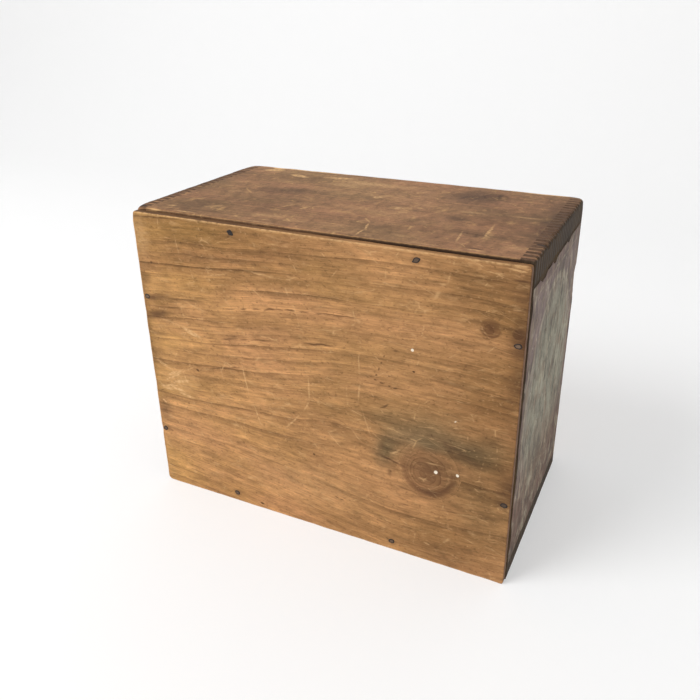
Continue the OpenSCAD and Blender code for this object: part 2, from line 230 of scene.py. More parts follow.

    # Torn fibres and resin canals as short dark dashes; small dents are not in the relief but painted: dark
    # pits that are partly grit and partly painted shade in the dents, and pale flecks that are painted
    # highlights on their rims
    torn = uneven["torn"][0]
    dash = node("MapRange", [torn, 0.6, 0.74, 0.0, board["dashes"]])
    raised = node("MapRange", [torn, 0.36, 0.24, 0.0, board["pits"]])
    grit = node("SeparateColor", [uneven["grit"][1]], out=None)
    pit_grit_and_shade = node("MapRange", [grit[1], 0.58, 0.72, 0.0, board["pits"]])
    dent_rim_highlight = node("MapRange", [grit[2], 0.62, 0.76, 0.0, board["pits"] * 0.7])

    # The skin: broad clouds of tone, and scuffs where it is rubbed through
    clouds = node("SeparateColor", [uneven["cloud"][1]], out=None)
    blush = node("MapRange", [clouds[1], 0.4, 0.62, 0.0, 0.9])
    scuff = node("MapRange", [uneven["scuff"][0], 0.55, 0.75, 0.0, board["scuff"]])
    rubbed_zone = node("MapRange", [clouds[2], 0.4, 0.6, 0.25, 1.0])
    scuff = node("Math", [scuff, rubbed_zone], operation="MULTIPLY")
    across_at = node("VectorMath", [grain, (0.5, 1.1, 0)], out=1, operation="DOT_PRODUCT")
    along_at = node("VectorMath", [grain, (-0.018, 0.008, 0)], out=1, operation="DOT_PRODUCT")
    rub_at = node("CombineXYZ", [across_at, along_at, inward])
    rubs = node("TexNoise", {"Vector": rub_at, "W": seed + 11, "Scale": 1.0, "Detail": 2.0},
                noise_dimensions="4D")
    rubs = node("MapRange", [rubs, 0.66, 0.74, 0.0, board["scuff"] * 0.5])

    # Hairline scratches in all directions, worn away again in most places
    hair_zone = node("MapRange", [uneven["scuff"][0], 0.5, 0.62, 0.0, board["hairs"]])
    hair_at = node("VectorMath", [lumpy, (1 / 30, 1 / 17, 1 / 17), (seed * 1.7, seed * 0.9, 0)],
                   operation="MULTIPLY_ADD")
    hair = node("TexVoronoi", {"Vector": hair_at, "Scale": 1.0}, feature="DISTANCE_TO_EDGE")
    hair = node("MapRange", [hair, 0.028, 0.006, 0.0, 1.0])
    hair = node("Math", [hair, hair_zone], operation="MULTIPLY")
    for pale in (dent_rim_highlight, raised, rubs, hair):
        scuff = node("Math", [scuff, pale], operation="MAXIMUM")
    scuff = node("Math", [scuff, outer], operation="MULTIPLY")

    # Colour of the wood, and its tones
    tone = node("MapRange", [along, 0.0, board["length"], 0.0, 1.0], interpolation_type="SMOOTHSTEP")
    dark = node("Math", [dash, pit_grit_and_shade], operation="MAXIMUM")
    dark = node("Math", [dark, node("MapRange", [inner, 0.0, 1.0, 1.0, 0.4])], operation="MULTIPLY")
    colour = linear(board["early"])
    for share, shown in ((tone, "early_far"), (blush, "blush"), (inner, "inside"), (late, "late"),
                         (dark, "grime_and_shade")):
        colour = node("Mix", {0: share, 6: colour, 7: linear(board[shown])}, out=2, data_type="RGBA")
    shade = 1.0
    for height, kind in ((fibre, "fibre"), (clouds[0], "cloud"), (uneven["mottle"][0], "mottle"),
                         (uneven["band"][0], "band")):
        tint = node("MapRange", [height, 0.3, 0.7, 1 - board[kind], 1 + board[kind]])
        shade = node("Math", [shade, tint], operation="MULTIPLY")
    colour = node("VectorMath", {0: colour, 3: shade}, operation="SCALE")

    # Coats over the wood, from the lowest up to the grime on the faces along the grain, partly dirt those
    # edges hold and partly painted shade of the recesses they sit in
    edge = node("Math", [facing[board["axes"][1]]], operation="ABSOLUTE")
    held_dirt_and_shade = node("MapRange", [tone, 0.2, 0.8, board["edge_dirt_and_shade"], board["edge_dirt_and_shade_far"]])
    edge = node("MapRange", [edge, 0.75, 0.95, 0.0, held_dirt_and_shade])
    coats = {"knots": knot_shade, "scuff": scuff, "edge": edge}
    for kind in ("browns", "stains", "dirt", "scratches", "paint"):
        coats[kind] = node("Math", [marked(tree, ragged, board[kind]), outer], operation="MULTIPLY")
    coats["scratches"] = node("Math", [coats["scratches"], patchy], operation="MULTIPLY")
    for kind, shown, laid in (("knots", "knot", "MIX"), ("browns", "brown", "MULTIPLY"),
                              ("stains", "stain", "MULTIPLY"), ("scuff", "bare", "MIX"),
                              ("dirt", "grime_and_shade", "MIX"), ("scratches", "bare", "MIX"),
                              ("edge", "grime_and_shade", "MIX")):
        colour = node("Mix", {0: coats[kind], 6: colour, 7: linear(board[shown])}, out=2,
                      data_type="RGBA", blend_type=laid)

    # End grain soaks up dirt, and the arrises are rubbed bare
    end = node("Math", [facing[board["axes"][0]]], operation="ABSOLUTE")
    end = node("MapRange", [end, 0.6, 0.9, 0.0, 0.92])
    end_colour = node("Mix", {0: tone, 6: linear(board["end"]), 7: linear(board["end_far"])}, out=2,
                      data_type="RGBA")
    if board["fingers"]:
        pitch, finger_l = board["fingers"]
        count = node("Math", [across, pitch], operation="DIVIDE")
        finger = node("Math", [node("Math", [count], operation="FLOOR"), seed], operation="ADD")
        finger = node("TexWhiteNoise", {"W": finger}, noise_dimensions="1D")
        finger = node("MapRange", [finger, 0.0, 1.0, 0.8, 1.2])
        end_colour = node("VectorMath", {0: end_colour, 3: finger}, operation="SCALE")
    end_colour = node("VectorMath", {0: end_colour, 3: shade}, operation="SCALE")
    colour = node("Mix", {0: end, 6: colour, 7: end_colour}, out=2, data_type="RGBA")
    if board["fingers"]:
        middle = node("Math", [node("Math", [count], operation="FRACT"), 0.5], operation="SUBTRACT")
        middle = node("Math", [middle], operation="ABSOLUTE")
        seam = node("MapRange", [middle, 0.36, 0.48, 0.0, board["seam_dark"]])
        to_end = node("Math", [board["length"], along], operation="SUBTRACT")
        to_end = node("Math", [to_end, along], operation="MINIMUM")
        in_joint = node("MapRange", [to_end, finger_l + 0.6, finger_l, 0.0, 1.0])
        seam = node("Math", [seam, in_joint], operation="MULTIPLY")
        colour = node("Mix", {0: seam, 6: colour, 7: linear(board["seam"])}, out=2, data_type="RGBA")
    rubbed = node("Attribute", out="Fac", attribute_name="arris")
    handled = node("MapRange", [inward, 1.4, 0.7, 0.0, 1.0])
    held = node("MapRange", [along, board["length"] - 5, board["length"] - 2, board["rubbed"],
                             board["rubbed_far"]])
    for factor in (patchy, handled, held):
        rubbed = node("Math", [rubbed, factor], operation="MULTIPLY")
    fresh = node("Attribute", out="Fac", attribute_name="fresh")
    fresh = node("Math", [fibre, 0.9, fresh], operation="MULTIPLY_ADD")
    fresh = node("MapRange", [fresh, 0.8, 1.0, 0.0, 1.0])
    rubbed = node("Math", [rubbed, fresh], operation="MAXIMUM")
    for share, shown in ((rubbed, "bare"), (coats["paint"], "drip")):
        colour = node("Mix", {0: share, 6: colour, 7: linear(board[shown])}, out=2, data_type="RGBA")

    # Relief: late wood stands proud, dashes and scratches are cut in
    height = 0.0
    for layer, rise in ((late, 0.6), (fibre, 0.5), (dash, -0.9), (coats["scratches"], -0.6)):
        height = node("Math", [layer, rise, height], operation="MULTIPLY_ADD")
    bump = node("Bump", {"Strength": 0.35, "Distance": 0.25 * MM, "Height": height})
    rough = node("Math", [scuff, rubbed], operation="MAXIMUM")
    rough = node("MapRange", [rough, 0.0, 1.0, board["rough"], 0.82])
    shader = node("BsdfPrincipled", {"Base Color": colour, "Roughness": rough, "Normal": bump, "IOR": 1.45,
                                     "Specular IOR Level": board["gloss"]})
    node("OutputMaterial", {"Surface": shader}, out=None)
    return material


def oxidised(name, clean, oxide, rust, patch_mm, metallic, rough):
    """Old metal indoors: an even dark oxide with patches of rust, and cleaner metal where rubbed."""
    material, tree = new_material(name)
    node = partial(add, tree)
    where = node("TexCoord", out="Object")
    patch = node("TexNoise", {"Vector": where, "Scale": 1 / (patch_mm * MM), "Detail": 5.0,
                              "Roughness": 0.65})
    grit = node("TexNoise", {"Vector": where, "Scale": 1 / (0.35 * MM), "Detail": 2.0})
    rusty = node("MapRange", [patch, 0.5, 0.66, 0.0, 0.85])
    worn = node("MapRange", [patch, 0.42, 0.3, 0.0, 0.7])
    worn = node("Math", [worn, node("Attribute", out="Fac", attribute_name="bright")], operation="MAXIMUM")
    colour = node("Mix", {0: rusty, 6: linear(oxide), 7: linear(rust)}, out=2, data_type="RGBA")
    colour = node("Mix", {0: worn, 6: colour, 7: linear(clean)}, out=2, data_type="RGBA")
    shade = node("MapRange", [grit, 0.3, 0.7, 0.75, 1.2])
    colour = node("VectorMath", {0: colour, 3: shade}, operation="SCALE")
    metal = node("MapRange", [rusty, 0.0, 0.85, metallic, metallic * 0.3])
    roughness = node("MapRange", [rusty, 0.0, 0.85, rough, 0.85])
    height = node("Math", [patch, grit], operation="ADD")
    bump = node("Bump", {"Strength": 0.4, "Distance": 0.15 * MM, "Height": height})
    shader = node("BsdfPrincipled", {"Base Color": colour, "Metallic": metal, "Roughness": roughness,
                                     "Normal": bump})
    node("OutputMaterial", {"Surface": shader}, out=None)
    return material


def printed_paper(name, low, high):
    """Thin paper printed in two inks and pasted on the wood: faded, rubbed through in streaks along the
    grain below it, soiled towards its edges."""
    material, tree = new_material(name)
    node = partial(add, tree)
    where = node("TexCoord", out="Object")
    where = node("VectorMath", [where, (low + high) / 2 * MM], operation="SUBTRACT")
    in_mm = node("VectorMath", [where, (1 / MM, 1 / MM, 1 / MM)], operation="MULTIPLY")
    half_w, half_h = (high.y - low.y) / 2, (high.z - low.z) / 2

    # Wear: feature sizes in mm, detail, roughness
    layers = {
        "slip": ((26, 26, 26), 5.0, 0.7),
        "streak": ((6, 6, 20), 4.0, 0.5),
        "loss": ((11, 11, 17), 5.0, 0.62),
        "cloud": ((45, 45, 45), 4.0, 0.6),
        "flake": ((7, 7, 7), 6.0, 0.65),
        "fibre": ((0.8, 0.8, 2.5), 2.0, 0.5),
    }
    wear = {}
    for layer, (sizes, detail, rough) in layers.items():
        at = node("VectorMath", [in_mm, [1 / mm for mm in sizes]], operation="MULTIPLY")
        wear[layer] = node("TexNoise", {"Vector": at, "Scale": 1.0, "Detail": detail, "Roughness": rough},
                           out=None)
    slip = node("VectorMath", [wear["slip"][1], (0.5, 0.5, 0.5)], operation="SUBTRACT")
    streak = wear["streak"][0]
    losses = node("SeparateColor", [wear["loss"][1]], out=None)
    loss = node("MapRange", [losses[0], 0.5, 0.6, 0.0, 0.8])
    stained = node("MapRange", [losses[1], 0.51, 0.65, 0.0, 0.65])
    pale = node("MapRange", [losses[2], 0.53, 0.65, 0.0, 0.65])
    kept = node("MapRange", [losses[1], 0.4, 0.55, 0.2, 1.0])
    flakes = node("SeparateColor", [wear["flake"][1]], out=None)
    flaked = node("MapRange", [flakes[0], 0.63, 0.66, 0.0, 0.75])
    rubbed_off = node("MapRange", [flakes[1], 0.62, 0.67, 0.0, 0.5])

    # The printed design: a mauve ground with a keyline, and an upright grey-green oval with a pale ring
    drawn = node("VectorMath", [slip, (0, 6, 7), in_mm], operation="MULTIPLY_ADD")
    oval = node("VectorMath", [drawn, (0, 1 / (half_w * 0.86), 1 / (half_h * 0.8))], operation="MULTIPLY")
    oval = node("VectorMath", [oval], out=1, operation="LENGTH")
    field = node("MapRange", [oval, 1.1, 0.85, 0.0, 1.0])
    off_ring = node("Math", [node("Math", [oval, 1.03], operation="SUBTRACT")], operation="ABSOLUTE")
    ring = node("MapRange", [off_ring, 0.04, 0.02, 0.0, 0.75])
    ring = node("Math", [ring, kept], operation="MULTIPLY")
    xyz = node("SeparateXYZ", [in_mm], out=None)
    margin = 9
    to_side = node("Math", [xyz[1]], operation="ABSOLUTE")
    to_side = node("Math", [to_side, half_w - margin], operation="SUBTRACT")
    to_top = node("Math", [xyz[2]], operation="ABSOLUTE")
    to_top = node("Math", [to_top, half_h - margin], operation="SUBTRACT")
    to_frame = node("Math", [to_side, to_top], operation="MAXIMUM")
    keyline = node("MapRange", [node("Math", [to_frame], operation="ABSOLUTE"), 1.0, 0.6, 0.0, 0.75])
    keyline = node("Math", [keyline, kept], operation="MULTIPLY")

    # Dirt at the edges and low down, and creases of the sheet
    edge = node("MapRange", [to_frame, -4.0, 9.0, 0.0, 0.5])
    soiled = node("MapRange", [xyz[2], -20.0, -62.0, 0.0, 0.75])
    edge = node("Math", [edge, soiled], operation="MAXIMUM")
    crease_at = node("VectorMath", [slip, (0, 9, 9), in_mm], operation="MULTIPLY_ADD")
    crease_at = node("VectorMath", [crease_at, (0, 1 / 70, 1 / 95)], operation="MULTIPLY")
    crease = node("TexVoronoi", {"Vector": crease_at, "Scale": 1.0}, feature="DISTANCE_TO_EDGE")
    crease = node("MapRange", [crease, 0.008, 0.002, 0.0, 0.2])
    crease = node("Math", [crease, kept], operation="MULTIPLY")

    # Colour, from the inks outwards
    colour = linear("#8a7873")
    for share, code in ((field, "#a09b89"), (ring, "#bfb49d"), (keyline, "#b5a894"), (edge, "#765947"),
                        (loss, "#8f7d6c"), (pale, "#bdb39b"), (stained, "#5d544b"), (rubbed_off, "#c3b8a0"),
                        (flaked, "#5b4636"), (crease, "#c9bea6")):
        colour = node("Mix", {0: share, 6: colour, 7: linear(code)}, out=2, data_type="RGBA")
    shade = 1.0
    for layer, dark, light in (("streak", 0.72, 1.22), ("cloud", 0.8, 1.14), ("fibre", 0.86, 1.12)):
        tint = node("MapRange", [wear[layer][0], 0.3, 0.7, dark, light])
        shade = node("Math", [shade, tint], operation="MULTIPLY")
    colour = node("VectorMath", {0: colour, 3: shade}, operation="SCALE")
    height = node("Math", [flaked, -0.8, streak], operation="MULTIPLY_ADD")
    height = node("Math", [crease, 0.6, height], operation="MULTIPLY_ADD")
    bump = node("Bump", {"Strength": 0.4, "Distance": 0.15 * MM, "Height": height})
    shader = node("BsdfPrincipled", {"Base Color": colour, "Roughness": 0.78, "Normal": bump,
                                     "Specular IOR Level": 0.25})
    node("OutputMaterial", {"Surface": shader}, out=None)
    return material


# Shapes: boards are cut into cells, and again near their faces, at these distances in mm
BOARD_CELL = 4.0
BOARD_NEAR = (0.35, 0.9, 1.8, 3.2)

# Points closer than the first are one point, and pockets for nail heads are shallower than the second
WELD = 1e-6
POCKET = 1.2 * MM


def cut_cells(node, cell, near, pockets=None):
    """A copy of a CAD node's mesh, cut by planes about a cell apart and at the near distances from its
    faces. Wood closes over shallow pockets in the face at Y = pockets, because beaten heads fill them."""
    low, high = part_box(node)
    bm = bmesh.new()
    bm.from_mesh(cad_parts[node].data)
    if pockets is not None:
        for vert in bm.verts:
            if abs(vert.co.y - pockets) < POCKET:
                vert.co.y = pockets
    bmesh.ops.remove_doubles(bm, verts=bm.verts, dist=WELD)
    bmesh.ops.dissolve_limit(bm, angle_limit=math.radians(1), verts=bm.verts, edges=bm.edges)
    for axis in range(3):
        span = high[axis] - low[axis]
        steps = max(1, round(span / (cell * MM)))
        places = [low[axis] + span * i / steps for i in range(1, steps)]
        places += [at for d in near if d * MM < span / 2
                   for at in (low[axis] + d * MM, high[axis] - d * MM)]
        normal = Vector([float(axis == i) for i in range(3)])
        for at in places:
            bmesh.ops.bisect_plane(bm, geom=bm.verts[:] + bm.edges[:] + bm.faces[:], dist=WELD,
                                   plane_co=normal * at, plane_no=normal)
    return bm, low, high


def add_piece(name, bm, body, node, material):
    """Makes a cut and shaped mesh into a piece that stands for a CAD node."""
    mesh = bpy.data.meshes.new(name)
    for face in bm.faces:
        face.smooth = True
    bm.to_mesh(mesh)
    bm.free()
    mesh.set_sharp_from_angle(angle=math.radians(40))
    mesh.materials.append(material)
    piece = bpy.data.objects.new(name, mesh)
    bpy.context.scene.collection.objects.link(piece)
    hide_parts(node)
    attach(piece, body)


def rubbed_board(name, node, body, material, edge, worn=(), bow=None, whole=None, pockets=None):
    """A board with its arrises rubbed round by an uneven radius in mm, and broken away further at worn
    places: (place, added radius, reach in x, y and z, how fresh the break is). Boards joined to others are
    rubbed as one whole, given by its corners."""
    bm, low, high = cut_cells(node, BOARD_CELL, BOARD_NEAR, pockets)
    if whole:
        low, high = whole
    arris = bm.verts.layers.float.new("arris")
    fresh = bm.verts.layers.float.new("fresh")
    thin = min(high - low)
    for vert in bm.verts:
        start = vert.co.copy()
        at = start / MM
        radius = edge * (1 + 0.7 * noise.noise(at / 11) + 0.4 * noise.noise(at / 3.1))
        for place, added, reach, bare in worn:
            near = math.exp(-sum(((at[i] - place[i]) / reach[i]) ** 2 for i in range(3)))
            radius += added * near
            vert[fresh] = max(vert[fresh], bare * near)
        radius = min(max(radius, 0.1) * MM, 0.49 * thin)
        core = Vector([min(max(start[i], low[i] + radius), high[i] - radius) for i in range(3)])
        out = start - core
        if out.length > radius:
            vert.co = core + out * (radius / out.length)
        if bow:
            vert.co.y += bow(at) * MM
        gaps = sorted(min(start[i] - low[i], high[i] - start[i]) for i in range(3))
        vert[arris] = max(0.0, 1 - gaps[1] / (1.5 * MM))
    add_piece(name, bm, body, node, material)


def solids(node):
    """The lowest and highest corners, in mm, of each separate solid in a CAD node."""
    bm = bmesh.new()
    bm.from_mesh(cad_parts[node].data)
    bmesh.ops.remove_doubles(bm, verts=bm.verts, dist=WELD)
    left = set(bm.verts)
    boxes = []
    while left:
        group = [left.pop()]
        for vert in group:
            fresh = {edge.other_vert(vert) for edge in vert.link_edges} & left
            left -= fresh
            group += fresh
        corners = [vert.co / MM for vert in group]
        boxes.append([Vector([pick(c[i] for c in corners) for i in range(3)]) for pick in (min, max)])
    bm.free()
    return sorted(boxes, key=lambda corners: tuple(corners[0]))


def beaten_nails(name, node, body, material, polish, bow=None):
    """Cut nails along Y, each lofted from a dented head to its point. A ring is (depth in mm, shares of the
    head's width and height). polish is how bright each head's middle is rubbed, by X and then Z."""
    bm = bmesh.new()
    bright = bm.verts.layers.float.new("bright")
    sides = 24
    for count, (low, high) in enumerate(solids(node)):
        middle = (low + high) / 2
        half_w, half_h = (high.x - low.x) / 2, (high.z - low.z) / 2
        outward = -1 if middle.y < 0 else 1
        face = low.y if outward < 0 else high.y
        turned = 1.1 * noise.noise(Vector((count * 3.7, 1.3, 0)))
        if bow:
            face += bow(middle)
        rings = [(-0.1, 0.12, 0.12), (-0.14, 0.5, 0.5), (-0.2, 0.74, 0.74), (-0.14, 0.94, 0.94),
                 (0.1, 1.02, 1.02), (0.5, 1.0, 1.0), (0.9, 0.95, 0.95), (0.95, 0.5, 0.48),
                 (high.y - low.y, 0.24, 0.48)]
        loops = []
        for depth, wide, tall in rings:
            loop = []
            for side in range(sides):
                angle = 2 * math.pi * side / sides
                cos, sin = math.cos(angle), math.sin(angle)
                dent = noise.noise(Vector((cos * 1.3, sin * 1.3, count * 5.1 + depth * 0.4)))
                swell = 1.1 + 0.3 * dent if depth < 0.6 else 1.0
                u = half_w * wide * swell * cos
                v = half_h * tall * swell * sin
                x = u * math.cos(turned) - v * math.sin(turned)
                z = u * math.sin(turned) + v * math.cos(turned)
                sunk = depth + (0.1 * noise.noise(Vector((x, z, count * 2.9))) if depth < 0 else 0.0)
                vert = bm.verts.new(Vector((middle.x + x, face - outward * sunk, middle.z + z)) * MM)
                vert[bright] = polish[count] if depth < 0 and wide < 0.6 else 0.0
                loop.append(vert)
            loops.append(loop)
        for near, far in zip(loops, loops[1:]):
            for i in range(sides):
                bm.faces.new((near[i], near[i - 1], far[i - 1], far[i]))
        bm.faces.new(loops[0])
        bm.faces.new(loops[-1][::-1])
    bmesh.ops.recalc_face_normals(bm, faces=bm.faces)
    add_piece(name, bm, body, node, material)


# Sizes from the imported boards, in mm
bottom_low, bottom_high = (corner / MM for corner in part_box("bottom_board"))
side_low, side_high = (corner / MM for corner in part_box("upper_side_board"))
lid_low, lid_high = (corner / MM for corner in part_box("lid_board"))
hinge_batten_low, hinge_batten_high = (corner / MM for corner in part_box("hinge_batten"))
box_h = side_high.z
box_l = side_high.x - side_low.x
side_t = side_high.z - side_low.z
label_end_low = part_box("label_end_board")[0] / MM
end_t = side_high.x - label_end_low.x
FINGERS = 49
finger_pitch = (side_high.y - side_low.y) / FINGERS
joined_frame = Vector((side_low.x, side_low.y, 0)) * MM, side_high * MM

# Thickness in mm for the finish of a piece that shows no inside
NO_INSIDE = 1e3

